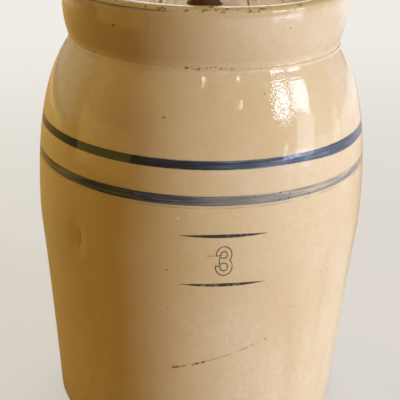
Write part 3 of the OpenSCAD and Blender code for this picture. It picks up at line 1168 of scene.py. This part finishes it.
# each lamp: bearing from the front towards the right, height angle, distance, size, watts and colour,
# whether it only lights, only shows in the glaze, or does both, and a roll where it is turned
lamps = {
    "windowLeft": {"turn": 60.2, "lift": 25, "away": 1.9, "size": (0.36, 0.74), "watts": 9.5,
                   "colour": daylight, "does": "mirror", "roll": -23},
    "windowRight": {"turn": 77.4, "lift": 22.2, "away": 1.9, "size": (0.39, 0.63), "watts": 6.0,
                    "colour": daylight, "does": "mirror", "roll": -21},
    "windowLow": {"turn": 73.6, "lift": 3.4, "away": 1.9, "size": (0.46, 0.58), "watts": 2.0,
                  "colour": daylight, "does": "mirror", "roll": -15},
    "windowStreak": {"turn": 56.5, "lift": -1, "away": 1.9, "size": (0.025, 0.26), "watts": 0.13,
                     "colour": daylight, "does": "mirror", "roll": -15},
    "windowLight": {"turn": 70, "lift": 26, "away": 1.9, "size": (0.7, 0.7), "watts": 7,
                    "colour": (0.83, 1.0, 1.5), "does": "light"},
    "windowFar": {"turn": 104.5, "lift": 0, "away": 1.9, "size": (0.22, 0.36), "watts": 0.22,
                  "colour": (0.95, 1.0, 1.1), "does": "mirror"},
    "key": {"turn": 62.5, "lift": 2, "away": 4.0, "size": (0.5, 0.3), "watts": 130,
            "colour": (0.82, 1.0, 1.5), "does": "light"},
    "glintFront": {"turn": -0.8, "lift": 47.5, "away": 2.0, "size": (0.05, 0.18), "watts": 0.3,
                   "colour": white, "does": "both"},
    "glintRight": {"turn": 27.5, "lift": 29, "away": 2.0, "size": (0.04, 0.18), "watts": 0.25,
                   "colour": white, "does": "both", "roll": -20},
    "glintHigh": {"turn": 31, "lift": 46.5, "away": 2.0, "size": (0.04, 0.16), "watts": 0.25,
                  "colour": white, "does": "both", "roll": -20},
    "leftPanel": {"turn": -68, "lift": 0, "away": 1.22, "size": (0.98, 3.0), "watts": 1.6,
                  "colour": (1.0, 0.72, 0.22), "does": "mirror"},
    "leftDoor": {"turn": -68, "lift": 0, "away": 1.2, "size": (0.96, 0.37), "watts": 0.55,
                 "colour": (1.0, 0.76, 0.18), "does": "mirror"},
    "frontPanel": {"turn": -25.5, "lift": 0, "away": 1.3, "size": (0.97, 3.0), "watts": 0.9,
                   "colour": (1.0, 0.8, 0.5), "does": "mirror"},
    "farLeft": {"turn": -138, "lift": 10, "away": 1.6, "size": (2.4, 2.4), "watts": 3.2,
                "colour": (0.8, 1.0, 1.25), "does": "mirror"},
    "rightWall": {"turn": 127, "lift": 0, "away": 1.6, "size": (0.85, 3.0), "watts": 3.2,
                  "colour": (0.75, 0.9, 1.25), "does": "mirror"},
    "leftWall": {"turn": -128, "lift": 6, "away": 2.0, "size": (1.2, 1.8), "watts": 27,
                 "colour": (0.92, 1.0, 0.65), "does": "light"},
    "overhead": {"turn": -20, "lift": 80, "away": 2.0, "size": (1.5, 1.5), "watts": 4.8,
                 "colour": (1.0, 1.0, 0.5), "does": "light"},
    "rear": {"turn": 179, "lift": 20, "away": 2.2, "size": (1.5, 1.0), "watts": 26,
             "colour": (0.92, 0.98, 1.12), "does": "light"},
    "rearShine": {"turn": 179, "lift": 30, "away": 2.2, "size": (0.8, 0.8), "watts": 5,
                  "colour": white, "does": "mirror"},
}


def floorPiece():
    half = studio["floorHalf"]
    corners = [(-half, -half, 0), (half, -half, 0), (half, half, 0), (-half, half, 0)]
    mesh = bpy.data.meshes.new("studioFloor")
    mesh.from_pydata(corners, [], [(0, 1, 2, 3)])
    floor = bpy.data.objects.new("studioFloor", mesh)
    constants = {"Roughness": 1.0, "Specular IOR Level": 0.0, "Emission Strength": 1.0}
    material, shader, place = newLook("pale floor", constants)
    dark = (0, 0, 0, 1)
    x, y = place.split()[:2]
    seen = place.make("ShaderNodeLightPath", out="Is Camera Ray")
    far = x.reach(y).rise(*studio["floorFade"])
    lit = x.rise(*studio["litAcross"]) * (1 - y.rise(*studio["litBack"]))
    bounce = lit.mixed(studio["floorTone"], studio["floorLit"])
    seen.mixed(bounce, far.mixed(studio["floorPale"], dark)).feed(shader, "Base Color")
    mirrored = seen.out("Is Glossy Ray") * x.rise(*studio["shineAcross"])
    shine = mirrored.mixed(dark, studio["floorShine"])
    seen.mixed(shine, far.mixed(studio["floorGlow"], studio["backTone"])).feed(shader, "Emission Color")
    mesh.materials.append(material)
    bpy.context.scene.collection.objects.link(floor)


def softLamp(name, lamp):
    data = bpy.data.lights.new(name, "AREA")
    data.shape = "RECTANGLE"
    data.size, data.size_y = lamp["size"]
    data.energy = lamp["watts"]
    data.color = lamp["colour"]
    light = bpy.data.objects.new(name, data)
    light.visible_glossy = lamp["does"] != "light"
    light.visible_diffuse = lamp["does"] != "mirror"
    light.visible_camera = False
    turn = math.radians(lamp["turn"])
    lift = math.radians(lamp["lift"])
    aim = Vector((0, 0, crockHeight * studio["lampAim"]))
    way = Vector((math.sin(turn) * math.cos(lift), -math.cos(turn) * math.cos(lift), math.sin(lift)))
    light.location = aim + way * lamp["away"]
    light.rotation_mode = "QUATERNION"
    facing = way.to_track_quat("Z", "Y")
    light.rotation_quaternion = facing @ Quaternion((0, 0, 1), math.radians(lamp.get("roll", 0)))
    bpy.context.scene.collection.objects.link(light)


def studioWorld():
    world = bpy.data.worlds.new("studio")
    world.use_nodes = True
    tree = world.node_tree
    background = tree.nodes["Background"]
    path = Wire(tree).make("ShaderNodeLightPath", out="Is Camera Ray")
    seen = path.most(path.out("Is Glossy Ray"))
    seen.mixed(studio["worldTone"], studio["backTone"]).feed(background, "Color")
    shown = path.most(path.out("Is Glossy Ray") * studio["backShine"])
    shown.most(studio["worldLevel"]).feed(background, "Strength")
    bpy.context.scene.world = world


photoCamera = {
    "frame": 400,
    "focalPixels": 916.2,
    "sensor": 36.0,
    "back": 0.6756,
    "aboveRimEdge": 0.119,
    "pitch": math.radians(23.29),
    "roll": math.radians(1.38),
}


def cameraPiece():
    view = photoCamera
    data = bpy.data.cameras.new("photoCamera")
    data.sensor_width = view["sensor"]
    data.lens = view["sensor"] * view["focalPixels"] / view["frame"]
    camera = bpy.data.objects.new("photoCamera", data)
    place = Matrix.Translation((0, -view["back"], rimEdgeHeight + view["aboveRimEdge"]))
    tilt = Matrix.Rotation(math.pi / 2 - view["pitch"], 4, "X")
    camera.matrix_world = place @ tilt @ Matrix.Rotation(view["roll"], 4, "Z")
    bpy.context.scene.collection.objects.link(camera)
    bpy.context.scene.camera = camera


floorPiece()
for lampName, lampSettings in lamps.items():
    softLamp(lampName, lampSettings)
studioWorld()
cameraPiece()
bpy.context.scene.view_settings.view_transform = "Standard"
print("churn: studio lit and camera set")
